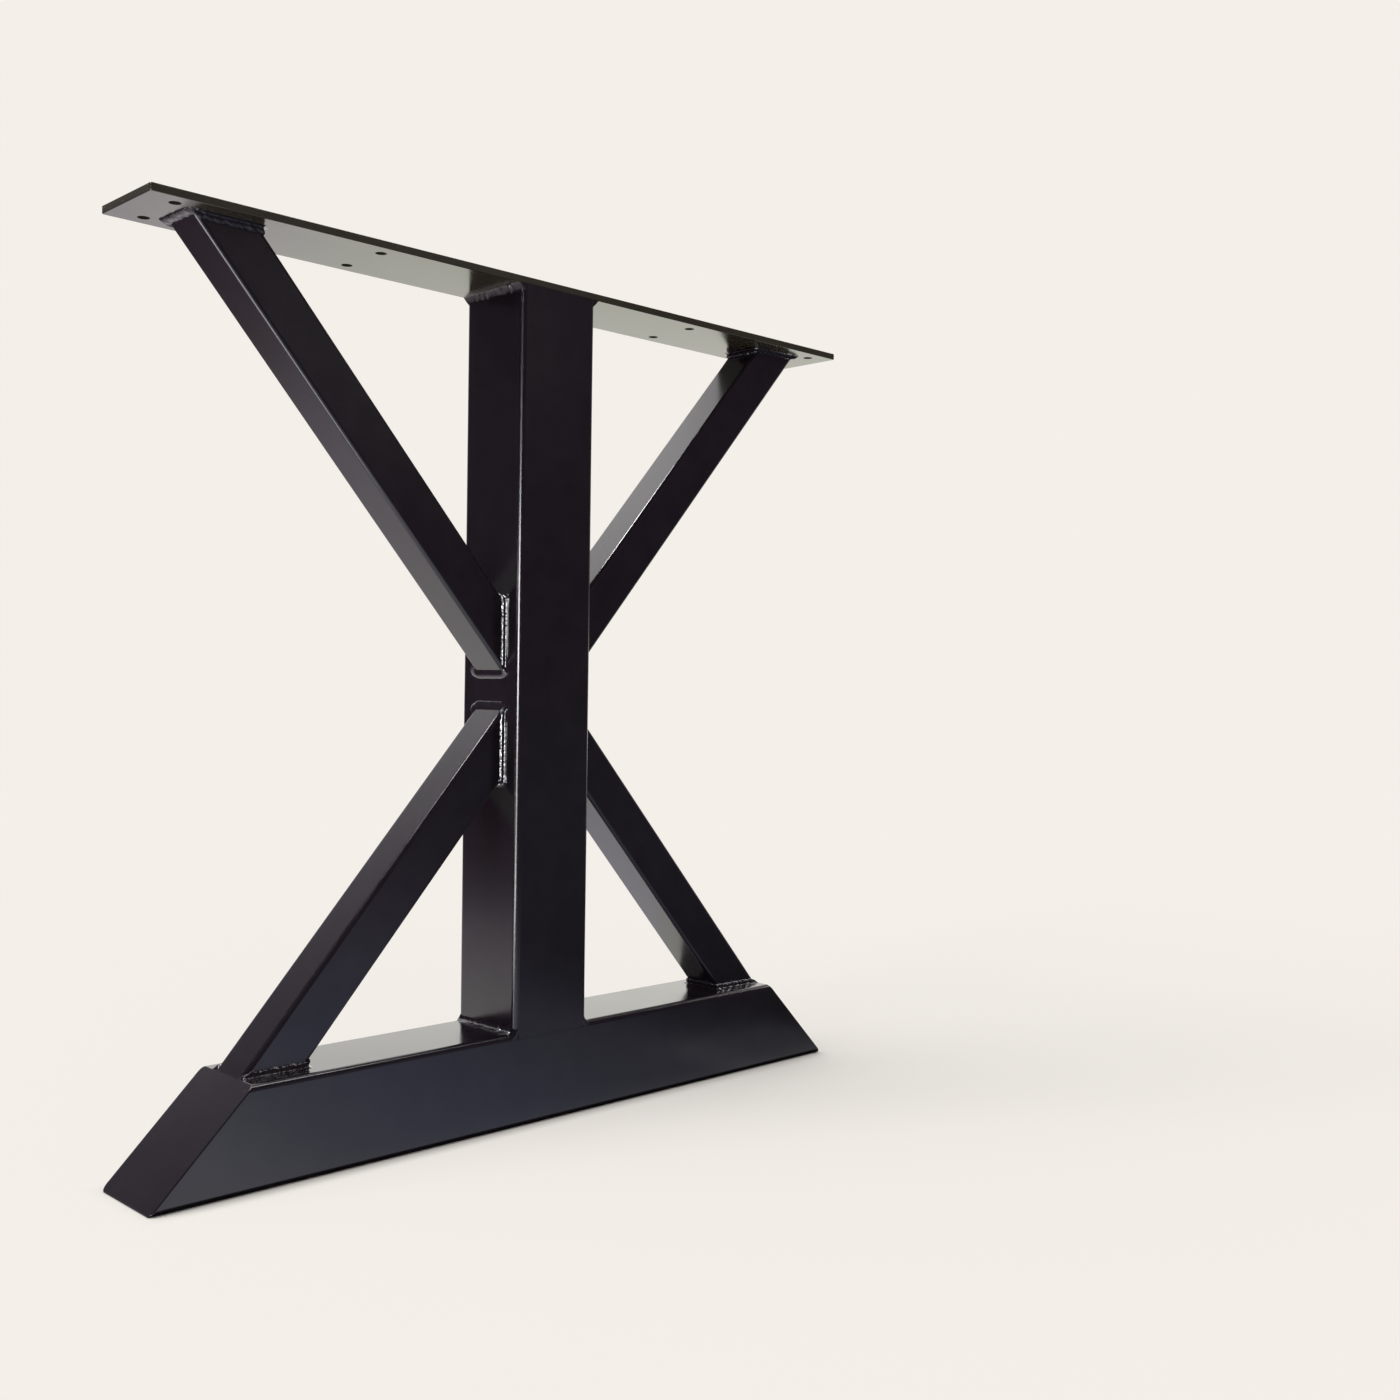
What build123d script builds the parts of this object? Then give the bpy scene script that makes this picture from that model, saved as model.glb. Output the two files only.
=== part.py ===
from build123d import *
import os
from math import cos, radians, sin, tan

# Welded steel trestle leg for a table or a work top, in millimetres.
# X runs along the top plate, Y across it, and Z is up.
# The origin is the middle of the underside of the base beam, on the floor.

# Driving dimensions
HEIGHT = 720.0
PLATE_LENGTH = 730.0
PLATE_THICKNESS = 6.0
PLATE_CORNER_RADIUS = 2.0
PLATE_EDGE_RADIUS = 0.8
HOLE_DIAMETER = 9.0
HOLE_PITCH_OUTER = 680.0
HOLE_PITCH_INNER = 340.0
HOLE_PITCH_ACROSS = 50.0

# The post and the base beam are the same square tube, as wide as the plate.
TUBE_WIDTH = 80.0
TUBE_WALL = 3.0
TUBE_RADIUS = 5.0
BASE_LENGTH = 720.0
MITRE_ANGLE = 45.0
CAP_THICKNESS = 3.0
CAP_EDGE_RADIUS = 1.0

BRACE_WIDTH = 40.0
BRACE_WALL = 2.0
BRACE_RADIUS = 3.5
BRACE_ANGLE = 49.0
UPPER_BRACE_REACH = 325.0

# Welds: LEG is a fillet's leg, TOE_LEG its longer leg at the toe and heel of a brace,
# and TIP the thickness that it still has where it runs out on a tube.
LEG = 5.0
TOE_LEG = 6.0
TIP = 0.3
BEVEL = 2.0
SEAM_DEPTH = 1.5
SEAM_WIDTH = 2.4
# A ground seam fills a rounded edge to this share of its radius, where it is still thick enough to hold.
FILL_SHARE = 0.88

# Derived places
HALF_TUBE = TUBE_WIDTH / 2
HALF_BRACE = BRACE_WIDTH / 2
PLATE_UNDERSIDE = HEIGHT - PLATE_THICKNESS
BASE_TOP = TUBE_WIDTH
BASE_TOP_HALF = BASE_LENGTH / 2 - TUBE_WIDTH / tan(radians(MITRE_ANGLE))
TUBE_FLAT = HALF_TUBE - TUBE_RADIUS
SLOPE = tan(radians(BRACE_ANGLE))
BRACE_CUT_HIGH = BRACE_WIDTH / cos(radians(BRACE_ANGLE))
BRACE_CUT_LONG = BRACE_WIDTH / sin(radians(BRACE_ANGLE))


def rounded_square(width, radius):
    return RectangleRounded(width, width, radius)


def tube_profile(width, wall, radius):
    return rounded_square(width, radius) - rounded_square(width - 2 * wall, radius - wall)


def box_between(low, high):
    """An axis-aligned box between two corners."""
    size = [b - a for a, b in zip(low, high)]
    middle = [(a + b) / 2 for a, b in zip(low, high)]
    return Pos(*middle) * Box(*size)


def keep_below(shape, plane):
    """The part of a shape on the far side of a plane from its normal."""
    return split(shape, bisect_by=plane, keep=Keep.BOTTOM)


def keep_above(shape, plane):
    return split(shape, bisect_by=plane, keep=Keep.TOP)


def mirrored(shape):
    """The left-hand copy of a right-hand piece."""
    return mirror(shape, about=Plane.YZ)


# Top plate


def top_plate():
    outline = RectangleRounded(PLATE_LENGTH, TUBE_WIDTH, PLATE_CORNER_RADIUS)
    plate = Pos(0, 0, PLATE_UNDERSIDE) * extrude(outline, PLATE_THICKNESS)
    rims = plate.faces().sort_by(Axis.Z)[0].edges() + plate.faces().sort_by(Axis.Z)[-1].edges()
    plate = fillet(rims, PLATE_EDGE_RADIUS)
    for pitch in (HOLE_PITCH_OUTER, HOLE_PITCH_INNER):
        for place in GridLocations(pitch, HOLE_PITCH_ACROSS, 2, 2):
            drill = Cylinder(HOLE_DIAMETER / 2, 2 * PLATE_THICKNESS)
            plate -= place * Pos(0, 0, PLATE_UNDERSIDE + PLATE_THICKNESS / 2) * drill
    return plate


# Base beam and its end caps


def beam_run(profile):
    """A profile carried along the whole length of the base beam."""
    start = Plane.YZ.offset(-BASE_LENGTH / 2)
    return Pos(0, 0, HALF_TUBE) * extrude(start * profile, BASE_LENGTH)


def mitre_plane(inset):
    """The right-hand end's sloping plane, moved into the beam by inset."""
    slope = radians(MITRE_ANGLE)
    end = Plane(origin=(BASE_LENGTH / 2, 0, 0), x_dir=(0, 1, 0), z_dir=(sin(slope), 0, cos(slope)))
    return end.offset(-inset)


def end_seam(joint_inset):
    """The ground weld around the joint between the beam's wall and its right-hand cap."""
    skin = rounded_square(TUBE_WIDTH, TUBE_RADIUS)
    core = rounded_square(TUBE_WIDTH - 2 * SEAM_DEPTH, TUBE_RADIUS - SEAM_DEPTH)
    ring = beam_run(skin - core)
    ring = keep_below(ring, mitre_plane(joint_inset - SEAM_WIDTH / 2))
    return keep_above(ring, mitre_plane(joint_inset + SEAM_WIDTH / 2))


def end_cap(seam):
    block = beam_run(rounded_square(TUBE_WIDTH, TUBE_RADIUS))
    slab = keep_above(keep_below(block, mitre_plane(0)), mitre_plane(CAP_THICKNESS))
    outer_face = slab.faces().sort_by(Axis((0, 0, 0), mitre_plane(0).z_dir))[-1]
    rounded = fillet(outer_face.edges(), CAP_EDGE_RADIUS)
    # The edge stays sharp where the lower brace's outer face runs on into the cap.
    reach = BASE_LENGTH
    under_brace = slab & box_between((0, -HALF_BRACE, HALF_TUBE), (reach, HALF_BRACE, reach))
    return rounded + under_brace - seam


def base_beam(seam):
    joint = mitre_plane(CAP_THICKNESS)
    beam = keep_below(beam_run(tube_profile(TUBE_WIDTH, TUBE_WALL, TUBE_RADIUS)), joint)
    beam = keep_below(mirrored(beam), joint)
    return beam - seam - mirrored(seam)


# Centre post


def post_run(profile):
    return Pos(0, 0, BASE_TOP) * extrude(profile, PLATE_UNDERSIDE - BASE_TOP)


def end_bevel(side, level, inward):
    """The wedge cut off the post's front or back wall at one end, so that weld can fill it."""
    face = side * HALF_TUBE
    corners = [(face, level), (face - side * BEVEL, level), (face, level + inward * BEVEL)]
    wedge = make_face(Polyline(*corners, close=True))
    return extrude(Plane.YZ * wedge, TUBE_FLAT, both=True)


def center_post():
    post = post_run(tube_profile(TUBE_WIDTH, TUBE_WALL, TUBE_RADIUS))
    for side in (-1, 1):
        post -= end_bevel(side, BASE_TOP, 1)
        post -= end_bevel(side, PLATE_UNDERSIDE, -1)
    return post


# Braces: each is a square tube in the middle of the frame's depth


def brace_run(profile, foot, rise):
    """A profile carried along a right-hand brace whose outer face crosses X, Z = foot.
    rise is 1 for an upper brace and -1 for a lower one."""
    slope = radians(BRACE_ANGLE)
    along = Vector(cos(slope), 0, rise * sin(slope))
    outward = Vector(sin(slope), 0, -rise * cos(slope))
    middle = Vector(foot[0], 0, foot[1]) - outward * HALF_BRACE
    axis = Plane(origin=middle, x_dir=(0, 1, 0), z_dir=along)
    return extrude(axis * profile, HEIGHT, both=True)


def trim_brace(brace, rise):
    """Keeps the stretch outside the post's side face and clear of the plate or the beam."""
    low, high = (0, PLATE_UNDERSIDE) if rise > 0 else (BASE_TOP, HEIGHT)
    return brace & box_between((HALF_TUBE, -BRACE_WIDTH, low), (PLATE_LENGTH, BRACE_WIDTH, high))


def brace_foot(rise):
    """Where a brace's outer face meets the plate's underside or the beam's top."""
    if rise > 0:
        return UPPER_BRACE_REACH, PLATE_UNDERSIDE
    return BASE_TOP_HALF, BASE_TOP


def brace_core(rise):
    """A right-hand brace without its hollow."""
    profile = rounded_square(BRACE_WIDTH, BRACE_RADIUS)
    return trim_brace(brace_run(profile, brace_foot(rise), rise), rise)


def brace(rise):
    profile = tube_profile(BRACE_WIDTH, BRACE_WALL, BRACE_RADIUS)
    return trim_brace(brace_run(profile, brace_foot(rise), rise), rise)


def foot_seam():
    """The ground weld under the outer wall of a lower brace, along the top edge of the end cap."""
    slope = radians(BRACE_ANGLE)
    x, z = brace_foot(-1)
    corners = [(x, z), (x - BEVEL, z), (x - BEVEL * cos(slope), z + BEVEL * sin(slope))]
    half = HALF_BRACE - BRACE_RADIUS
    return extrude(Plane.XZ * make_face(Polyline(*corners, close=True)), half, both=True)


# Fillet welds round the ends of the braces


def collar(foot, tip, length, width, radius, spread):
    """A fillet weld's outer shape round a tube of this length and width where it meets a face.
    It narrows from the plane foot, where it is wider by LEG across and by spread along, to the plane tip."""
    wide = RectangleRounded(length + 2 * spread, width + 2 * LEG, radius + LEG)
    narrow = RectangleRounded(length + 2 * TIP, width + 2 * TIP, radius + TIP)
    return loft([foot * wide, tip * narrow], ruled=True)


def brace_to_post_weld(rise):
    x, z = brace_foot(rise)
    outer = z - rise * (x - HALF_TUBE) * SLOPE
    middle = outer + rise * BRACE_CUT_HIGH / 2
    foot = Plane(origin=(HALF_TUBE, 0, middle), x_dir=(0, 0, 1), z_dir=(1, 0, 0))
    tip = Plane(origin=(HALF_TUBE + LEG, 0, middle + rise * LEG * SLOPE), x_dir=(0, 0, 1), z_dir=(1, 0, 0))
    return collar(foot, tip, BRACE_CUT_HIGH, BRACE_WIDTH, BRACE_RADIUS, TOE_LEG) - brace_core(rise)


def brace_end_weld(rise):
    """The weld between a brace and the plate's underside or the beam's top."""
    x, z = brace_foot(rise)
    middle = x - BRACE_CUT_LONG / 2
    away = (0, 0, -rise)
    foot = Plane(origin=(middle, 0, z), x_dir=(1, 0, 0), z_dir=away)
    tip = Plane(origin=(middle - LEG / SLOPE, 0, z - rise * LEG), x_dir=(1, 0, 0), z_dir=away)
    weld = collar(foot, tip, BRACE_CUT_LONG, BRACE_WIDTH, BRACE_RADIUS, TOE_LEG) - brace_core(rise)
    if rise > 0:
        return weld
    # The outer side of a lower brace is ground flat with its outer face.
    slope = radians(BRACE_ANGLE)
    outer_face = Plane(origin=(x, 0, z), x_dir=(0, 1, 0), z_dir=(sin(slope), 0, cos(slope)))
    return keep_below(weld, outer_face)


# Welds round the ends of the post: fillets at the sides, ground flat at front and back


def post_collar(level, away):
    """The weld's outer shape round one end of the post, no deeper than the plate and the beam."""
    foot = Plane(origin=(0, 0, level), x_dir=(1, 0, 0), z_dir=(0, 0, away))
    ring = collar(foot, foot.offset(LEG), TUBE_WIDTH, TUBE_WIDTH, TUBE_RADIUS, LEG)
    reach = HALF_TUBE + LEG
    return ring & box_between((-reach, -HALF_TUBE, level - LEG), (reach, HALF_TUBE, level + LEG))


def post_welds(level, away, edge_radius, post, neighbour):
    """The four runs at one end of the post: left, right, front and back."""
    fill = FILL_SHARE * edge_radius
    reach = HALF_TUBE + LEG
    low, high = sorted((level, level - away * fill))
    rim = box_between((-reach, -HALF_TUBE, low), (reach, HALF_TUBE, high))
    rim -= box_between((-reach, -HALF_TUBE + TUBE_WALL, low), (reach, HALF_TUBE - TUBE_WALL, high))
    bevels = end_bevel(-1, level, away) + end_bevel(1, level, away)
    core = post_run(rounded_square(TUBE_WIDTH, TUBE_RADIUS))
    sides = (post_collar(level, away) - core) + rim + bevels
    whole = sides - neighbour - post
    span = box_between((-TUBE_FLAT, -TUBE_WIDTH, 0), (TUBE_FLAT, TUBE_WIDTH, 2 * HEIGHT))
    ground = whole & span
    fillets = whole - span
    runs = {
        "left": fillets.solids().sort_by(Axis.X)[0],
        "right": fillets.solids().sort_by(Axis.X)[-1],
        "front": ground.solids().sort_by(Axis.Y)[0],
        "back": ground.solids().sort_by(Axis.Y)[-1],
    }
    return runs


def make_parts():
    """Every piece by its node name."""
    seam = end_seam(CAP_THICKNESS)
    cap = end_cap(seam)
    plate = top_plate()
    beam = base_beam(seam)
    post = center_post()
    parts = {
        "top_plate": plate,
        "center_post": post,
        "base_beam": beam,
        "end_cap_right": cap,
        "end_cap_left": mirrored(cap),
        "end_cap_seam_right": seam,
        "end_cap_seam_left": mirrored(seam),
    }
    wedge = foot_seam()
    for height, rise in (("upper", 1), ("lower", -1)):
        end = "plate" if rise > 0 else "base"
        tube = brace(rise) if rise > 0 else brace(rise) - wedge
        right_hand = {
            f"{height}_brace": tube,
            f"{height}_brace_post_weld": brace_to_post_weld(rise),
            f"{height}_brace_{end}_weld": brace_end_weld(rise),
        }
        if rise < 0:
            right_hand["lower_brace_ground_seam"] = wedge
        for name, piece in right_hand.items():
            parts[f"{name}_right"] = piece
            parts[f"{name}_left"] = mirrored(piece)
    for side, run in post_welds(PLATE_UNDERSIDE, -1, PLATE_EDGE_RADIUS, post, plate).items():
        parts[f"post_plate_weld_{side}"] = run
    for side, run in post_welds(BASE_TOP, 1, TUBE_RADIUS, post, beam).items():
        parts[f"post_base_weld_{side}"] = run
    return parts


os.makedirs("parts", exist_ok=True)
for node, shape in make_parts().items():
    export_step(shape, f"parts/{node}.step")
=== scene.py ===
"""Looks for the welded steel trestle leg: camera, studio, powder coat and weld beads, in metres."""

from math import ceil, copysign, cos, exp, pi, radians, sin, sqrt
from random import Random

import bmesh
import bpy
from mathutils import Matrix, Vector


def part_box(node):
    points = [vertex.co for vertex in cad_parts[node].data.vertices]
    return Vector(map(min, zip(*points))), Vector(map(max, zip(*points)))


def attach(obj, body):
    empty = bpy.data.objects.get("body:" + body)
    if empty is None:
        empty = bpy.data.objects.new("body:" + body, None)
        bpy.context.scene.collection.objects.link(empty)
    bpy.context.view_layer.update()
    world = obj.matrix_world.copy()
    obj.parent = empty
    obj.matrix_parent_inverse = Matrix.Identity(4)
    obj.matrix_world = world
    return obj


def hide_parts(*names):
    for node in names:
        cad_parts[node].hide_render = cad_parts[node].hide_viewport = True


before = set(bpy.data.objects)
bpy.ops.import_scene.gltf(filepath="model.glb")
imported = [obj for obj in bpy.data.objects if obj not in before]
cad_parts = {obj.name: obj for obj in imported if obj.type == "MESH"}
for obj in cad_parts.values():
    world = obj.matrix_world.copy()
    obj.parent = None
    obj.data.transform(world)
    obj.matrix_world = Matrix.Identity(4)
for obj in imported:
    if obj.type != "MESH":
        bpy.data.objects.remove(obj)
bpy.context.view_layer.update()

# Studio colours and lights, linear
BACKDROP = (0.905, 0.863, 0.815)
FILL = 0.68
KEY_DIRECTION = (0.78, -0.16, -0.60)
KEY_SHARE = 0.45         # the floor's light from the key, in the same unit as FILL
KEY_ANGLE = 50           # degrees across the key, which makes its shadows soft

# Shader node helpers


def node(tree, kind, **settings):
    """A new shader node with its properties set."""
    made = tree.nodes.new(kind)
    for name, value in settings.items():
        setattr(made, name, value)
    return made


def feed(tree, socket, value):
    """Puts a number, a colour or another node's output on a socket."""
    if isinstance(value, bpy.types.NodeSocket):
        tree.links.new(value, socket)
    else:
        socket.default_value = value


def math_node(tree, operation, *values):
    """The result of an operation on numbers or other nodes' outputs."""
    made = node(tree, "ShaderNodeMath", operation=operation)
    for socket, value in zip(made.inputs, values):
        feed(tree, socket, value)
    return made.outputs[0]


def smooth_range(tree, value, low, high, start=0.0, end=1.0):
    """Eases from start to end as value goes from low to high."""
    made = node(tree, "ShaderNodeMapRange", interpolation_type="SMOOTHSTEP")
    settings = {"Value": value, "From Min": low, "From Max": high, "To Min": start, "To Max": end}
    for name, number in settings.items():
        feed(tree, made.inputs[name], number)
    return made.outputs["Result"]


def sum_of(tree, *terms):
    """Adds up (value, size) terms."""
    total = 0.0
    for value, size in terms:
        total = math_node(tree, "MULTIPLY_ADD", value, size, total)
    return total


def from_middle(tree, x, y):
    """How far a floor point lies from the middle of the object."""
    squares = [math_node(tree, "POWER", value, 2.0) for value in (x, y)]
    return math_node(tree, "SQRT", math_node(tree, "ADD", *squares))


def compass(tree, x, y):
    """The direction of x and y, in degrees from +Y towards +X."""
    return math_node(tree, "DEGREES", math_node(tree, "ARCTAN2", x, y))


def soft_patch(tree, strength, softness, *ranges):
    """Strength within soft-edged ranges, each given as a value with its lowest and highest."""
    patch = strength
    for value, low, high in ranges:
        rise = smooth_range(tree, value, low - softness, low + softness)
        fall = smooth_range(tree, value, high - softness, high + softness, 1.0, 0.0)
        patch = math_node(tree, "MULTIPLY", math_node(tree, "MULTIPLY", rise, fall), patch)
    return patch


def add_colours(tree, *colours):
    """The sum of colours, or of numbers that stand for greys."""
    total = colours[0]
    for colour in colours[1:]:
        made = node(tree, "ShaderNodeVectorMath", operation="ADD")
        feed(tree, made.inputs[0], total)
        feed(tree, made.inputs[1], colour)
        total = made.outputs[0]
    return total


def blend_colours(tree, factor, first, second):
    """The first colour at factor 0 and the second at 1."""
    made = node(tree, "ShaderNodeMix", data_type="RGBA")
    colours = [s for s in made.inputs if s.type == "RGBA"]
    feed(tree, made.inputs["Factor"], factor)
    for socket, colour in zip(colours, (first, second)):
        feed(tree, socket, colour if isinstance(colour, bpy.types.NodeSocket) else (*colour, 1.0))
    return next(s for s in made.outputs if s.type == "RGBA")


def colour_curve(tree, value, low, high, stops):
    """A colour along value, which runs straight from stop to stop. A stop is (value, colour), and all of them
    lie between low and high."""
    share = math_node(tree, "DIVIDE", math_node(tree, "SUBTRACT", value, low), high - low)
    made = node(tree, "ShaderNodeValToRGB")
    made.color_ramp.interpolation = "LINEAR"
    points = made.color_ramp.elements
    while len(points) < len(stops):
        points.new(0.5)
    for point, (place, colour) in zip(points, stops):
        point.position = (place - low) / (high - low)
        point.color = (*colour, 1.0)
    feed(tree, made.inputs[0], share)
    return made.outputs["Color"]


def scaled(colour, strength):
    return tuple(channel * strength for channel in colour)


def grey(strength):
    return (strength, strength, strength)


def tinted(tree, colour, strength):
    """A colour scaled by another node's output."""
    made = node(tree, "ShaderNodeVectorMath", operation="SCALE")
    feed(tree, made.inputs[0], colour)
    feed(tree, made.inputs["Scale"], strength)
    return made.outputs[0]


def background(tree, colour):
    made = node(tree, "ShaderNodeBackground")
    feed(tree, made.inputs["Color"], colour)
    return made.outputs[0]


def emission(tree, colour, strength=1.0):
    made = node(tree, "ShaderNodeEmission")
    feed(tree, made.inputs["Color"], colour)
    feed(tree, made.inputs["Strength"], strength)
    return made.outputs[0]


def either_shader(tree, factor, first, second):
    """The first shader at factor 0 and the second at 1."""
    made = node(tree, "ShaderNodeMixShader")
    for socket, value in zip(made.inputs, (factor, first, second)):
        feed(tree, socket, value)
    return made.outputs[0]


# Camera: where it stands, which way it looks and how wide it sees

CAMERA_PLACE = (-0.8303, -1.0499, 0.3801)
CAMERA_YAW = 44.9        # degrees from +Y towards +X
CAMERA_PITCH = -0.67     # degrees above level
CAMERA_ROLL = 0.79       # degrees
CAMERA_LENS = 38.83      # mm on a 36 mm wide sensor
SENSOR_WIDTH = 36.0
CAMERA_REACH = 200.0     # metres, past the far edge of the floor


def place_camera():
    data = bpy.data.cameras.new("camera")
    data.sensor_width = SENSOR_WIDTH
    data.lens = CAMERA_LENS
    data.clip_end = CAMERA_REACH
    camera = bpy.data.objects.new("camera", data)
    turn = (
        Matrix.Rotation(radians(-CAMERA_YAW), 4, "Z")
        @ Matrix.Rotation(radians(90 + CAMERA_PITCH), 4, "X")
        @ Matrix.Rotation(radians(CAMERA_ROLL), 4, "Z")
    )
    camera.matrix_world = Matrix.Translation(CAMERA_PLACE) @ turn
    bpy.context.scene.collection.objects.link(camera)
    bpy.context.scene.camera = camera


# Studio: a pale sweep seen by the camera, and a softly graded room in the reflections

ROOM_DARK = (0.093, 0.061, 0.091)
ROOM_BRIGHT = (1.62, 1.60, 1.50)
ROOM_COLOURS = (         # by azimuth, in degrees from +Y towards +X
    (-40, ROOM_DARK),
    (-20, scaled((1.0, 0.92, 1.2), 0.12)),
    (-16, scaled((1.0, 0.90, 1.1), 0.27)),
    (-12, scaled((1.0, 0.93, 1.03), 0.49)),
    (-8, scaled((1.0, 0.96, 1.0), 0.85)),
    (-2, scaled((1.0, 0.97, 0.98), 1.48)),
    (44, ROOM_BRIGHT),
    (60, scaled((1.0, 0.97, 0.9), 0.9)),
    (100, scaled((1.0, 0.95, 0.95), 0.3)),
    (125, ROOM_DARK),
)
ROOM_RISE = (15, 45)     # the elevations between which the room grows brighter
ROOM_TOP = 1.22          # how much brighter it is above them
# Patches of light in the room: strength, softness of the edges, and spans of azimuth and elevation. Softness
# and spans are in degrees. From the photo's angle, flat faces don't mirror the window or the lamps: they show
# only as thin lines along rounded edges and on weld. Near the plate, the front faces mirror the glow. The
# upper right brace's inner face mirrors the ceiling's lighter and darker patches.
SIDE_WINDOW = (50.0, 3, (-122, -99), (-4, 4.5))
FRONT_GLOW = (0.32, 3.5, (142, 156), (9, 16))
HIGH_LAMPS = (
    (13.0, 2, (112, 126), (54, 64)),
    (20.0, 2, (92, 106), (34, 39)),
    (48.0, 2, (-60, -20), (57, 68)),
)
CEILING_LIGHT = (0.30, 2, (-12, 5), (36, 56))
CEILING_SHADE = (-0.80, 2, (6.5, 22), (43.5, 64))


def room_light(tree):
    """The room's light by direction: bright behind the object, dark at its sides and behind the camera."""
    direction = node(tree, "ShaderNodeSeparateXYZ")
    tree.links.new(node(tree, "ShaderNodeTexCoord").outputs["Generated"], direction.inputs[0])
    x, y, z = direction.outputs
    azimuth = compass(tree, x, y)
    elevation = math_node(tree, "DEGREES", math_node(tree, "ARCSINE", z))
    sides = colour_curve(tree, azimuth, -180, 180, ROOM_COLOURS)
    bright = tinted(tree, sides, smooth_range(tree, elevation, *ROOM_RISE, 1.0, ROOM_TOP))
    patches = [soft_patch(tree, strength, softness, (azimuth, *span), (elevation, *height))
               for strength, softness, span, height
               in (SIDE_WINDOW, FRONT_GLOW, *HIGH_LAMPS, CEILING_LIGHT, CEILING_SHADE)]
    return add_colours(tree, bright, *patches)


def make_world():
    world = bpy.data.worlds.new("studio")
    world.use_nodes = True
    tree = world.node_tree
    tree.nodes.clear()
    ray = node(tree, "ShaderNodeLightPath").outputs
    fill = background(tree, (FILL, FILL, FILL, 1.0))
    lit = either_shader(tree, ray["Is Glossy Ray"], fill, background(tree, room_light(tree)))
    shown = either_shader(tree, ray["Is Camera Ray"], lit, background(tree, (*BACKDROP, 1.0)))
    tree.links.new(shown, node(tree, "ShaderNodeOutputWorld").inputs[0])
    bpy.context.scene.world = world


# Floor: plain to the camera, and graded in the object's gloss, as the photo's studio shows in it

FLOOR_REACH = 60.0
FLOOR_PAINT = tuple(channel / (FILL + KEY_SHARE) for channel in BACKDROP)
FADE = (1.0, 2.6)                # the distances from the middle over which it takes the backdrop's colour
SHADOW_LIFT = (0.88, 0.25)       # how much of the floor's shadow is filled in, at the left and at the right
SHADOW_LIFT_SPAN = (-0.35, 0.45)
FOOT_SHADOW = (-0.002, 0.018)    # the distance from the foot over which that filling grows
FOOT_DARK = (0.003, 0.011)       # the same for the floor's light in the object's gloss

# The floor in the gloss, behind the object: colours by metres to the left of a slanting line
BEHIND_SLANT = 0.576
BEHIND_COLOURS = (
    (0.0, (1.40, 1.40, 1.25)),
    (0.45, (1.28, 1.22, 1.22)),
    (0.95, (0.90, 0.83, 0.92)),
    (1.11, (0.74, 0.66, 0.74)),
    (1.30, (0.46, 0.39, 0.44)),
    (1.52, (0.24, 0.18, 0.22)),
    (2.40, (0.09, 0.05, 0.08)),
)
BEHIND_EDGE = (-0.1, 0.1)        # the depths, along +Y, over which it takes over from the floor in front
# The floor in front, by metres to the right of a slanting line, and its dark far part
FRONT_SLANT = 0.15
FRONT_COLOURS = (
    (-0.30, (1.18, 1.22, 1.42)),
    (-0.19, (0.78, 0.82, 1.04)),
    (-0.05, (0.52, 0.58, 0.84)),
    (0.13, (0.37, 0.39, 0.52)),
    (0.22, (0.33, 0.34, 0.44)),
    (0.30, (0.12, 0.15, 0.21)),
    (0.44, (0.05, 0.05, 0.06)),
)
FRONT_EDGE = (-1.3, -0.3)        # the depths over which it takes over from that dark part
FLOOR_DARK = (0.11, 0.11, 0.155)
# The window's shine on the floor: strength, softness and span of azimuth, then its share by distance
WINDOW_SHINE = (36.0, 6, (-103, -82))
SHINE_SHARES = (
    (0.50, grey(0)),
    (0.62, grey(0.18)),
    (1.10, grey(0.25)),
    (1.30, grey(0.60)),
    (1.80, grey(0.56)),
    (2.20, grey(0.10)),
    (3.80, grey(0.10)),
    (5.50, grey(0.36)),
)
FAR_SHINE_TURN = 17.0            # degrees by which the shine lies further round, far from the object
FAR_SHINE = (1.1, 1.5)           # the distances over which it turns
# Lighter patches: colour, softness of the edges, and spans of x and y. The front one's x runs along a slant.
FRONT_PATCH = ((0.31, 0.27, 0.37), 0.08, (-0.45, -0.20), (-1.5, -0.58))
FRONT_PATCH_SLANT = 0.8
SIDE_PATCH = (grey(0.22), 0.03, (0.24, 0.42), (-0.17, 0.1))
BACK_PATCH = ((0.06, 0.02, 0.26), 0.03, (0.04, 0.32), (0.15, 0.5))


def foot_distance(tree, x, y):
    """How far a floor point lies outside the base beam's footprint."""
    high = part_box("base_beam")[1]
    outside = [math_node(tree, "SUBTRACT", math_node(tree, "ABSOLUTE", value), edge)
               for value, edge in zip((x, y), high)]
    return math_node(tree, "MAXIMUM", *outside)


def floor_patch(tree, x, y, patch):
    colour, softness, across, deep = patch
    return tinted(tree, colour, soft_patch(tree, 1.0, softness, (x, *across), (y, *deep)))


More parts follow.
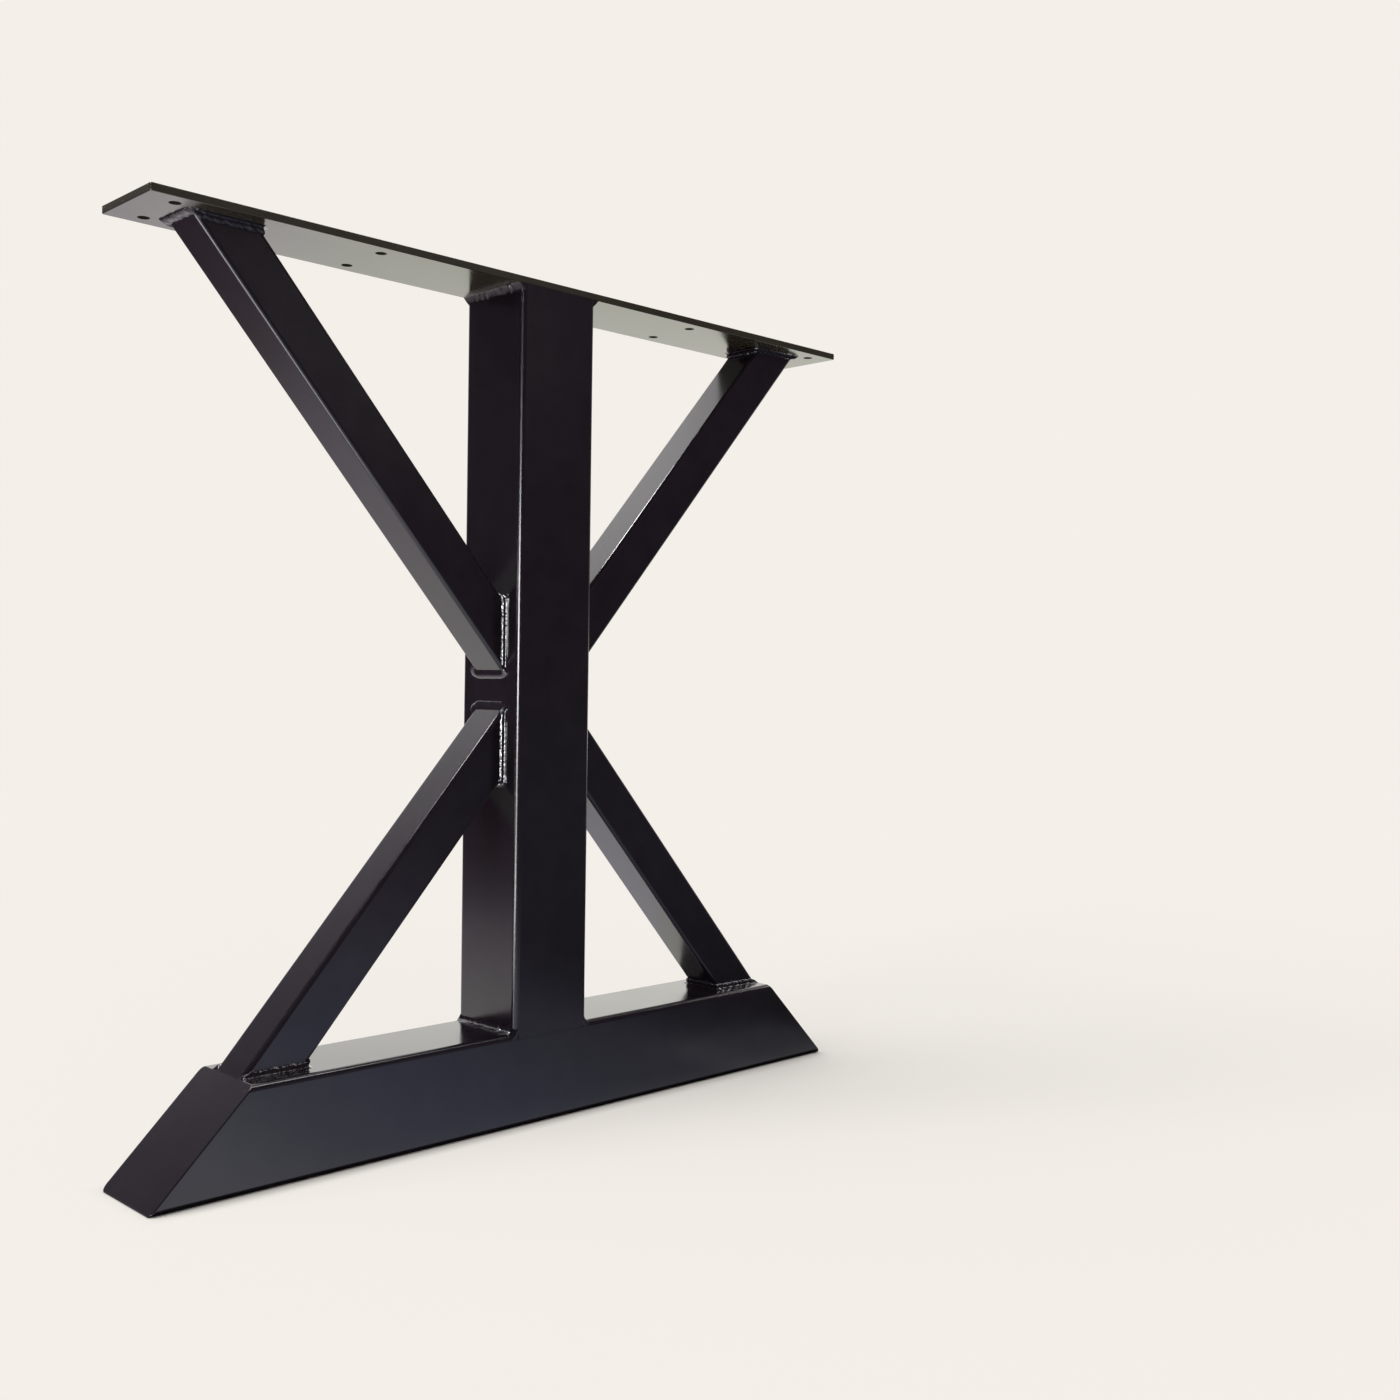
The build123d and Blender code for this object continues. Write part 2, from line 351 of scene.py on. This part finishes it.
def floor_gleam(tree, x, y):
    """How bright the floor is in the object's gloss: bright behind it, darker to the left and in front."""
    leftwards = math_node(tree, "SUBTRACT", math_node(tree, "MULTIPLY", y, BEHIND_SLANT), x)
    behind = colour_curve(tree, leftwards, 0.0, 3.0, BEHIND_COLOURS)
    rightwards = math_node(tree, "ADD", x, math_node(tree, "MULTIPLY", y, FRONT_SLANT))
    near = colour_curve(tree, rightwards, -0.6, 0.6, FRONT_COLOURS)
    front = blend_colours(tree, smooth_range(tree, y, *FRONT_EDGE), FLOOR_DARK, near)
    plain = blend_colours(tree, smooth_range(tree, y, *BEHIND_EDGE), front, behind)
    distance = from_middle(tree, x, y)
    shine = colour_curve(tree, distance, 0.0, 6.0, SHINE_SHARES)
    turn = smooth_range(tree, distance, *FAR_SHINE, 0.0, FAR_SHINE_TURN)
    turned = math_node(tree, "ADD", compass(tree, x, y), turn)
    strength, softness, span = WINDOW_SHINE
    window = math_node(tree, "MULTIPLY", shine, soft_patch(tree, strength, softness, (turned, *span)))
    slanted = math_node(tree, "MULTIPLY_ADD", y, FRONT_PATCH_SLANT, x)
    return add_colours(
        tree, plain, window,
        floor_patch(tree, slanted, y, FRONT_PATCH),
        floor_patch(tree, x, y, SIDE_PATCH),
        floor_patch(tree, x, y, BACK_PATCH),
    )


def floor_material():
    material = bpy.data.materials.new("pale_floor")
    material.use_nodes = True
    material.cycles.emission_sampling = "NONE"
    tree = material.node_tree
    tree.nodes.clear()
    place = node(tree, "ShaderNodeSeparateXYZ")
    tree.links.new(node(tree, "ShaderNodeTexCoord").outputs["Object"], place.inputs[0])
    x, y = place.outputs[:2]
    foot = foot_distance(tree, x, y)
    most = smooth_range(tree, x, *SHADOW_LIFT_SPAN, *SHADOW_LIFT)
    lift = smooth_range(tree, foot, *FOOT_SHADOW, 0.0, most)
    fade = smooth_range(tree, from_middle(tree, x, y), *FADE)
    paint = node(tree, "ShaderNodeBsdfDiffuse")
    feed(tree, paint.inputs["Color"], (*FLOOR_PAINT, 1.0))
    sweep = emission(tree, (*BACKDROP, 1.0))
    shown = either_shader(tree, math_node(tree, "MAXIMUM", lift, fade), paint.outputs[0], sweep)
    gleam = emission(tree, floor_gleam(tree, x, y), smooth_range(tree, foot, *FOOT_DARK))
    glossy = node(tree, "ShaderNodeLightPath").outputs["Is Glossy Ray"]
    either = either_shader(tree, glossy, shown, gleam)
    tree.links.new(either, node(tree, "ShaderNodeOutputMaterial").inputs[0])
    return material


def make_floor():
    mesh = bpy.data.meshes.new("floor")
    corners = [(x * FLOOR_REACH, y * FLOOR_REACH, 0) for x, y in ((-1, -1), (1, -1), (1, 1), (-1, 1))]
    mesh.from_pydata(corners, [], [(0, 1, 2, 3)])
    floor = bpy.data.objects.new("floor", mesh)
    mesh.materials.append(floor_material())
    bpy.context.scene.collection.objects.link(floor)


# Light: one broad key, which the gloss doesn't show


def make_key():
    data = bpy.data.lights.new("soft_key", "SUN")
    travel = Vector(KEY_DIRECTION).normalized()
    data.energy = KEY_SHARE * pi / -travel.z
    data.angle = radians(KEY_ANGLE)
    sun = bpy.data.objects.new("soft_key", data)
    sun.matrix_world = travel.to_track_quat("-Z", "Y").to_matrix().to_4x4()
    sun.visible_glossy = False
    bpy.context.scene.collection.objects.link(sun)


# Weld beads: rippled fillets, in place of the frame's plain ones

BRACE_ANGLE = radians(49)    # from level
BRACE_RADIUS = 0.0035        # of the braces' corners
TUBE_RADIUS = 0.005          # of the post's and the beam's corners
PLATE_EDGE_RADIUS = 0.0008
BEAD_STEP = 0.00035      # between a bead's cross-sections
BEAD_ROWS = 18           # steps across a bead
# How far a bead's surface has turned, in degrees, from facing out of the flat face to facing out of the
# tube's side, at shares of the way across. A full bead curves round in its first third or so, then leans
# back, and turns again at its edge on the tube.
FULL_TURNS = ((0.0, 0), (0.08, 22), (0.27, 48), (0.38, 84), (0.76, 74), (0.90, 48), (1.0, 90))
FLAT_TURNS = ((0.0, 0), (0.16, 40), (0.50, 46), (0.84, 52), (1.0, 90))
COVE_TURNS = ((0.0, 0), (0.06, 22), (0.45, 38), (0.62, 62), (1.0, 90))
PROFILE_STEPS = 24       # steps between a bead's rows, over which its turning surface is added up
PILLOW_POWER = 0.75      # under 1 is boxier than a circle
CORNER_STEPS = 24        # steps round a corner of the tube
BEAD_MIDDLE = 0.45       # where a bead's middle lies, in shares of its two legs
RIPPLE_PITCH = 0.0026
RIPPLE_BOW = 0.55        # how far a ripple's middle and its ends lie apart along the bead, in pitches
RIPPLE_SIZES = (0.45, 1.2)       # least and greatest, as shares of a kind's ripple
RIPPLE_DRIFT = (0.45, 0.009)     # how far ripples stray, in pitches, and over what length
PILLOW_RIPPLE = 0.3      # share of the ripples' height on the outer side
LIFT_POWER = 0.7         # of the sine by which ripples and blobs stand up across a bead: less is flatter
SWELL = (0.00016, 0.007)         # height of a bead's slow swelling, and its shortest wave
FACE_WANDER = (0.10, 0.005)      # the same for the edge on the face, as a share of the leg
TUBE_WANDER = (0.12, 0.005)      # the same for the edge on the tube
WAVE_SHARES = (1.0, 0.6, 0.35)   # the waves that make up an irregular one, from the shortest
WAVE_SIZES = (0.5, 1.0)          # their least and greatest size, before they are scaled together
LUMP_SIZES = (0.7, 1.2)          # the same for a blob, as shares of the height it is given
LUMP_REACH = (0.0014, 0.0026)    # how far a blob reaches along the bead
CORNER_LUMP = 0.0009     # height of the blob at the tube's inner corners
FACE_SPREAD = 0.006      # height of a corner's blob that doubles the leg on the face
TUBE_SPREAD = 0.009      # the same on the tube
EMBED = 0.0006           # how deep a bead's root lies in the steel
TOE_EMBED = 0.00015      # the same for its edges
RIM_EMBED = 3 * EMBED    # the same for its root where it hangs over a rounded rim
RIM_DROP = 0.9           # share of the rim's drop that such a root follows
GROUND_INSET = 0.00002   # a ground bead stops this far inside the surface it is ground flush with
SAME_POINT = 1e-7        # points that lie closer than this are joined
SHARP_ANGLE = radians(60)


def between(rng, low, high):
    return low + (high - low) * rng.random()


def wave(rng, length, size, shortest):
    """A smooth irregular wave of s, the way along a bead, that closes on itself over length."""
    parts = []
    for share in WAVE_SHARES:
        count = max(1, round(share * length / shortest))
        parts.append((between(rng, *WAVE_SIZES), count, between(rng, 0, 2 * pi)))
    total = sum(part[0] for part in parts)
    return lambda s: size / total * sum(a * sin(2 * pi * n * s / length + phase) for a, n, phase in parts)


def lump_row(rng, places, length):
    """Blobs of weld along a bead, each given as a place and a size, as a height of s."""
    lumps = [(place, size * between(rng, *LUMP_SIZES), between(rng, *LUMP_REACH)) for place, size in places]

    def height(s):
        total = 0.0
        for place, size, reach in lumps:
            gap = abs(s - place)
            gap = min(gap, length - gap)
            total += size * exp(-((gap / reach) ** 2))
        return total
    return height


def ripple_row(rng, length, size):
    """Crescent ripples as a height of s and of v, the share of the way across."""
    count = round(length / RIPPLE_PITCH)
    sizes = [between(rng, *RIPPLE_SIZES) for _ in range(count)]
    drift = wave(rng, length, *RIPPLE_DRIFT)
    heading = rng.choice((-1, 1))

    def height(s, v):
        place = count * s / length + drift(s) + heading * RIPPLE_BOW * (2 * v - 1) ** 2
        ripple, share = divmod(place, 1.0)
        return size * sizes[int(ripple) % count] * sqrt(max(0.0, 1 - (2 * share - 1) ** 2))
    return height


def turned_profile(turns):
    """Shares of a bead's two legs at each row across it, along a surface that turns as given."""
    steps = BEAD_ROWS * PROFILE_STEPS
    run = rise = 0.0
    points = [(run, rise)]
    for step in range(steps):
        share = (step + 0.5) / steps
        (low, first), (high, last) = next(pair for pair in zip(turns, turns[1:]) if pair[1][0] >= share)
        turn = radians(first + (last - first) * (share - low) / (high - low))
        run += cos(turn)
        rise += sin(turn)
        if (step + 1) % PROFILE_STEPS == 0:
            points.append((run, rise))
    return [(1 - across / run, along / rise) for across, along in points]


def pillow_profile():
    """The same for a bead with steep edges and a flat back."""
    turns = [row / BEAD_ROWS * pi / 2 for row in range(BEAD_ROWS + 1)]
    return [(cos(turn) ** PILLOW_POWER, sin(turn) ** PILLOW_POWER) for turn in turns]


def blend(first, second, share):
    return tuple(a + (b - a) * share for a, b in zip(first, second))


def tube_outline(half, radius, start, stop, stretch=1.0):
    """Points round a rounded square, turning from start to stop degrees from its outer side. Each comes with
    its normal and with whether it is the middle of a corner. stretch is how much longer the square's flanks
    are on the face that it meets."""
    flat = half - radius
    outline = []
    for quarter in range(start // 90, ceil(stop / 90)):
        middle = radians(90 * quarter + 45)
        centre = Vector((copysign(flat, sin(middle)), copysign(flat, cos(middle))))
        first = max(start, 90 * quarter)
        last = min(stop, 90 * quarter + 90)
        for step in range(CORNER_STEPS + 1):
            turn = radians(first + (last - first) * step / CORNER_STEPS)
            normal = Vector((sin(turn), cos(turn)))
            outline.append((centre + radius * normal, normal, step == CORNER_STEPS // 2))
        if last == stop and stop - start < 360:
            break
        tangent = Vector((normal.y, -normal.x))
        corner = outline[-1][0]
        count = ceil(2 * flat * (stretch if abs(normal.x) > 0.5 else 1.0) / BEAD_STEP)
        for step in range(1, count):
            outline.append((corner + tangent * (2 * flat * step / count), normal, False))
    return outline


class Joint:
    """Where a square tube meets a flat face: the tube's middle on the face, the face's normal, the tube's
    direction away from the face, and the direction of the tube's outer side."""

    def __init__(self, middle, face, axis, outer, half, radius):
        self.middle, self.face, self.axis, self.outer = map(Vector, (middle, face, axis, outer))
        self.half, self.radius = half, radius
        self.stretch = 1 / abs(self.axis.dot(self.face))

    def corner(self, point):
        """The point of the tube's outline, given across and outwards, moved along the tube to the face."""
        place = Vector((0, 1, 0)) * point.x + self.outer * point.y
        return self.middle + place - self.axis * (place.dot(self.face) / self.axis.dot(self.face))

    def outward(self, normal):
        """The direction in the face that points straight away from the tube."""
        away = Vector((0, 1, 0)) * normal.x + self.outer * normal.y
        return (away - self.face * away.dot(self.face)).normalized()


def by_side(normal, outer, flank, inner):
    """Blends three values by which side of the tube a normal points to."""
    weight = normal.y ** 2
    return flank * (1 - weight) + (outer if normal.y > 0 else inner) * weight


def bead_mesh(name, joint, kind, turns, limits=(), settle=None):
    """A bead of a kind round a joint, from one turn to another. limits are planes, each as a normal and a
    distance, that it is ground flush with. settle moves its points where the face isn't flat."""
    rng = Random(name)
    profile = turned_profile(kind["turns"])
    pillow = pillow_profile()
    legs = kind["legs"]
    taper_length, taper_share = kind["taper"]
    closed = turns[1] - turns[0] == 360
    outline = tube_outline(joint.half, joint.radius, *turns, stretch=joint.stretch)
    stations = []
    places = []
    length = 0.0
    for point, normal, in_corner in outline:
        corner = joint.corner(point)
        face_leg = joint.outward(normal) * by_side(normal, *legs[0])
        tube_leg = joint.axis * by_side(normal, *legs[1])
        middle = corner + BEAD_MIDDLE * (face_leg + tube_leg)
        if stations:
            length += (middle - stations[-1][-1]).length
        if in_corner:
            places.append((length, kind["toe_lump"] if normal.y > 0 else CORNER_LUMP))
        stations.append((length, normal, corner, face_leg, tube_leg, middle))
    if closed:
        length += (stations[0][-1] - stations[-1][-1]).length
    ripples = ripple_row(rng, length, kind["ripple"])
    corners = lump_row(rng, places, length)
    count, *sizes = kind["blobs"]
    blobs = lump_row(rng, [(between(rng, 0, length), between(rng, *sizes)) for _ in range(count)], length)
    swell, face_edge, tube_edge = (wave(rng, length, size * kind["wander"], shortest)
                                   for size, shortest in (SWELL, FACE_WANDER, TUBE_WANDER))

    vertices = []
    for s, normal, corner, face_leg, tube_leg, _ in stations:
        out = (face_leg.normalized() + tube_leg.normalized()).normalized()
        rounding = by_side(normal, kind["pillow"], 0.0, 0.0)
        rippled = by_side(normal, PILLOW_RIPPLE, 1.0, 1.0)
        raised = corners(s) + blobs(s) + swell(s)
        grown = 1.0 if closed else min(1.0, min(s, length - s) / taper_length)
        reach = taper_share + (1 - taper_share) * sqrt(grown)
        face_reach = reach * (1 + face_edge(s) + corners(s) / FACE_SPREAD)
        tube_reach = reach * (1 + tube_edge(s) + corners(s) / TUBE_SPREAD)
        section = []
        for row in range(BEAD_ROWS + 1):
            v = row / BEAD_ROWS
            p, q = blend(profile[row], pillow[row], rounding)
            lift = raised + rippled * ripples(s, v)
            height = lift * sin(pi * v) ** LIFT_POWER if 0 < row < BEAD_ROWS else -TOE_EMBED
            point = corner + face_leg * (p * face_reach) + tube_leg * (q * tube_reach) + out * height
            section.append(settle(point, 1 - v, joint) if settle else point)
        root = corner - out * EMBED
        section.append(settle(root, 1.0, joint, True) if settle else root)
        for point in section:
            for plane, distance in limits:
                excess = point.dot(plane) - distance + GROUND_INSET
                if excess > 0:
                    point -= plane * excess
            vertices.append(point)
    return build_ring(name, vertices, BEAD_ROWS + 2, closed)


def build_ring(name, vertices, across, closed):
    """A closed mesh from equal loops of points. The last point of each loop can see all the others."""
    loops = len(vertices) // across
    faces = []
    for loop in range(loops if closed else loops - 1):
        here, there = loop * across, (loop + 1) % loops * across
        for step in range(across):
            after = (step + 1) % across
            faces.append((here + step, there + step, there + after, here + after))
    if not closed:
        for start, turned in ((0, False), ((loops - 1) * across, True)):
            root = start + across - 1
            for step in range(across - 2):
                fan = (root, start + step, start + step + 1)
                faces.append(fan if turned else fan[::-1])
    mesh = bpy.data.meshes.new(name)
    mesh.from_pydata(vertices, [], faces)
    shape = bmesh.new()
    shape.from_mesh(mesh)
    bmesh.ops.remove_doubles(shape, verts=shape.verts, dist=SAME_POINT)
    bmesh.ops.recalc_face_normals(shape, faces=shape.faces)
    shape.to_mesh(mesh)
    shape.free()
    mesh.shade_smooth()
    mesh.set_sharp_from_angle(angle=SHARP_ANGLE)
    made = bpy.data.objects.new(name, mesh)
    bpy.context.scene.collection.objects.link(made)
    return made


def drape(face, rim):
    """Bends a bead down over a rounded rim at the front and back, and fills the rim under it."""
    def settle(point, share, joint, root=False):
        over = min(max(0.0, abs(point.y) - (joint.half - rim)), rim)
        drop = rim - sqrt(rim ** 2 - over ** 2)
        if root and over > 0:
            inward = Vector((-copysign(RIM_EMBED, point.x), 0, 0))
            return point - face * drop * RIM_DROP + inward
        return point - face * drop * share
    return settle


# Legs are given at the outer side, the flanks and the inner side: on the face, then along the tube. pillow is
# how far the outer side takes the pillow's profile. toe_lump is the height of the blobs at the outer corners.
# An open end is thinner over the taper's length, down to its share. Blobs are a count with their least and
# greatest height. wander scales the swelling and the edges' waves.
BRACE_ON_POST = {
    "legs": ((0.0056, 0.0055, 0.0080), (0.0030, 0.0057, 0.0085)),
    "turns": FULL_TURNS, "pillow": 1.0, "ripple": 0.00008, "toe_lump": 0.0018,
    "taper": (0.001, 1.0), "blobs": (3, 0.0001, 0.0005), "wander": 0.5,
}
UPPER_BRACE_ON_POST = {**BRACE_ON_POST, "ripple": 0.00015}
BRACE_ON_END = {
    "legs": ((0.0062, 0.0056, 0.0080), (0.0034, 0.0068, 0.0080)),
    "turns": FULL_TURNS, "pillow": 1.0, "ripple": 0.00012, "toe_lump": 0.0005,
    "taper": (0.009, 0.45), "blobs": (3, 0.0001, 0.0005), "wander": 1.0,
}
POST_ON_PLATE = {
    "legs": ((0.0050, 0.0050, 0.0050), (0.0060, 0.0060, 0.0060)),
    "turns": FLAT_TURNS, "pillow": 0.0, "ripple": 0.00022, "toe_lump": 0.0004,
    "taper": (0.001, 1.0), "blobs": (8, 0.0002, 0.0007), "wander": 1.0,
}
POST_ON_BEAM = {
    "legs": ((0.0046, 0.0046, 0.0046), (0.0048, 0.0048, 0.0048)),
    "turns": COVE_TURNS, "pillow": 0.0, "ripple": 0.00012, "toe_lump": 0.0004,
    "taper": (0.001, 1.0), "blobs": (5, 0.0001, 0.0005), "wander": 1.0,
}
# Degrees from a tube's outer side that a bead covers
ALL_ROUND = (0, 360)
BUT_OUTER_SIDE = (15, 345)
OUTER_SIDE = (-72, 72)


def brace_joints(height, hand):
    """Both ends of a brace: on the post, and on the plate or the beam."""
    side = -1 if hand == "left" else 1
    rise = 1 if height == "upper" else -1
    low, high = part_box(f"{height}_brace_{hand}")
    width = high[1] - low[1]
    post_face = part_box("center_post")[0 if side < 0 else 1][0]
    tip = (low if side < 0 else high)[0]
    toe, end = (low[2], high[2]) if rise > 0 else (high[2], low[2])
    along = Vector((side * cos(BRACE_ANGLE), 0, rise * sin(BRACE_ANGLE)))
    outer = Vector((side * sin(BRACE_ANGLE), 0, -rise * cos(BRACE_ANGLE)))
    on_post = Vector((post_face, 0, toe + rise * width / 2 / cos(BRACE_ANGLE)))
    on_end = Vector((tip - side * width / 2 / sin(BRACE_ANGLE), 0, end))
    return (
        Joint(on_post, (side, 0, 0), along, outer, width / 2, BRACE_RADIUS),
        Joint(on_end, (0, 0, -rise), -along, outer, width / 2, BRACE_RADIUS),
    )


def dress_bead(bead, node_name):
    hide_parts(node_name)
    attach(bead, "root")


def make_beads():
    beads = []
    for height in ("upper", "lower"):
        for hand in ("left", "right"):
            on_post, on_end = brace_joints(height, hand)
            name = f"{height}_brace_post_weld_{hand}"
            kind = UPPER_BRACE_ON_POST if height == "upper" else BRACE_ON_POST
            bead = bead_mesh(f"{name}_bead", on_post, kind, ALL_ROUND)
            dress_bead(bead, name)
            beads.append(bead)
            if height == "upper":
                name, turns, limits = f"upper_brace_plate_weld_{hand}", ALL_ROUND, ()
            else:
                name, turns = f"lower_brace_base_weld_{hand}", BUT_OUTER_SIDE
                ground = on_end.outer.dot(on_end.middle) + on_end.half
                limits = ((on_end.outer, ground),)
            bead = bead_mesh(f"{name}_bead", on_end, BRACE_ON_END, turns, limits)
            dress_bead(bead, name)
            beads.append(bead)
    low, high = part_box("center_post")
    half = (high[0] - low[0]) / 2
    flush = ((Vector((0, 1, 0)), half), (Vector((0, -1, 0)), half))
    ends = (
        ("plate", high[2], -1, PLATE_EDGE_RADIUS, POST_ON_PLATE),
        ("base", low[2], 1, TUBE_RADIUS, POST_ON_BEAM),
    )
    for end, level, away, rim, kind in ends:
        for hand, side in (("left", -1), ("right", 1)):
            name = f"post_{end}_weld_{hand}"
            face = Vector((0, 0, away))
            joint = Joint((0, 0, level), face, face, (side, 0, 0), half, TUBE_RADIUS)
            bead = bead_mesh(f"{name}_bead", joint, kind, OUTER_SIDE, flush, drape(face, rim))
            dress_bead(bead, name)
            beads.append(bead)
    return beads


# Powder coat: near black, with the fine orange peel, slow waves, nibs and hand marks of sprayed powder

# Each coat's own colour and a darker one that it drifts to
COAT = ((0.0110, 0.0085, 0.0115), (0.0040, 0.0026, 0.0045))
PLATE_COAT = ((0.033, 0.029, 0.019), (0.020, 0.017, 0.011))
WELD_COAT = ((0.0100, 0.0080, 0.0105), (0.0045, 0.0035, 0.0050))
# Lowest and highest roughness
TUBE_ROUGHNESS = (0.175, 0.205)
PLATE_ROUGHNESS = (0.175, 0.210)
GROUND_ROUGHNESS = (0.180, 0.220)
WELD_ROUGHNESS = (0.090, 0.120)
POST_WELD_ROUGHNESS = (0.070, 0.100)
PEEL_CELL = 0.0016       # metres across one cell of orange peel
SLOW_CELL = 0.022
MARK_CELL = 0.075
NIB_CELL = 0.010
NIB_RADIUS = 0.00055
PEEL_DEPTH = 0.000028    # metres of bump
SLOW_DEPTH = 0.000040
NIB_HEIGHT = 0.000110
STREAK_DEPTH = 0.000014
STREAK_CELLS = (0.030, 0.030, 0.0006)    # sanding lines run level
MARK_RANGE = (0.50, 0.68)        # the noise over which a hand mark fades in
# What each pattern adds to the dullness, and the sums at which the roughness is lowest and highest
SLOW_DULLNESS = 0.45
PEEL_DULLNESS = 0.25
MARK_DULLNESS = 0.35
STREAK_DULLNESS = 0.25
DULLNESS_RANGE = (0.15, 0.85)


def cells(tree, place, size, detail=2.0):
    """Soft noise between 0 and 1 with cells of a given size in metres."""
    made = node(tree, "ShaderNodeTexNoise")
    feed(tree, made.inputs["Vector"], place)
    feed(tree, made.inputs["Scale"], 1 / size)
    feed(tree, made.inputs["Detail"], detail)
    return made.outputs[0]


def nibs(tree, place):
    """Sparse grains caught under the coat: 1 at a grain's middle and 0 away from it."""
    made = node(tree, "ShaderNodeTexVoronoi")
    feed(tree, made.inputs["Vector"], place)
    feed(tree, made.inputs["Scale"], 1 / NIB_CELL)
    return smooth_range(tree, made.outputs["Distance"], 0.0, NIB_RADIUS / NIB_CELL, 1.0, 0.0)


def streaks(tree, place):
    """Level sanding lines, as soft noise between 0 and 1."""
    stretched = node(tree, "ShaderNodeVectorMath", operation="DIVIDE")
    feed(tree, stretched.inputs[0], place)
    feed(tree, stretched.inputs[1], STREAK_CELLS)
    return cells(tree, stretched.outputs[0], 1.0, detail=3.0)


def powder_coat(name, colours, roughness, sanded=False, gloss=0.5):
    """A coat. gloss is how strongly it reflects straight on, and 0.5 is usual for paint."""
    material = bpy.data.materials.new(name)
    material.use_nodes = True
    tree = material.node_tree
    shader = tree.nodes["Principled BSDF"]
    place = node(tree, "ShaderNodeTexCoord").outputs["Object"]
    peel = cells(tree, place, PEEL_CELL)
    slow = cells(tree, place, SLOW_CELL)
    marks = smooth_range(tree, cells(tree, place, MARK_CELL, detail=4.0), *MARK_RANGE)
    grains = nibs(tree, place)
    heights = [(peel, PEEL_DEPTH), (slow, SLOW_DEPTH), (grains, NIB_HEIGHT)]
    dullness = [(slow, SLOW_DULLNESS), (peel, PEEL_DULLNESS), (marks, MARK_DULLNESS)]
    if sanded:
        lines = streaks(tree, place)
        heights.append((lines, STREAK_DEPTH))
        dullness.append((lines, STREAK_DULLNESS))
    feed(tree, shader.inputs["Base Color"], blend_colours(tree, slow, *colours))
    dull = sum_of(tree, *dullness)
    feed(tree, shader.inputs["Roughness"], smooth_range(tree, dull, *DULLNESS_RANGE, *roughness))
    feed(tree, shader.inputs["Specular IOR Level"], gloss)
    bump = node(tree, "ShaderNodeBump")
    feed(tree, bump.inputs["Distance"], 1.0)
    feed(tree, bump.inputs["Height"], sum_of(tree, *heights))
    feed(tree, shader.inputs["Normal"], bump.outputs[0])
    return material


def dress_nodes(beads):
    tube = powder_coat("powder_coat_tube", COAT, TUBE_ROUGHNESS)
    plate = powder_coat("powder_coat_plate", PLATE_COAT, PLATE_ROUGHNESS)
    ground = powder_coat("powder_coat_ground_weld", COAT, GROUND_ROUGHNESS, sanded=True)
    weld = powder_coat("powder_coat_weld", WELD_COAT, WELD_ROUGHNESS)
    post_weld = powder_coat("powder_coat_thick_weld", WELD_COAT, POST_WELD_ROUGHNESS, gloss=1.0)
    for name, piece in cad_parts.items():
        if name == "top_plate":
            coat = plate
        elif "seam" in name or name.endswith(("weld_front", "weld_back")):
            coat = ground
        else:
            coat = tube
        for place in piece.material_slots:
            place.material = coat
    for bead in beads:
        bead.data.materials.append(post_weld if "brace_post_weld" in bead.name else weld)


bpy.context.scene.view_settings.view_transform = "Standard"
place_camera()
make_world()
make_floor()
make_key()
dress_nodes(make_beads())
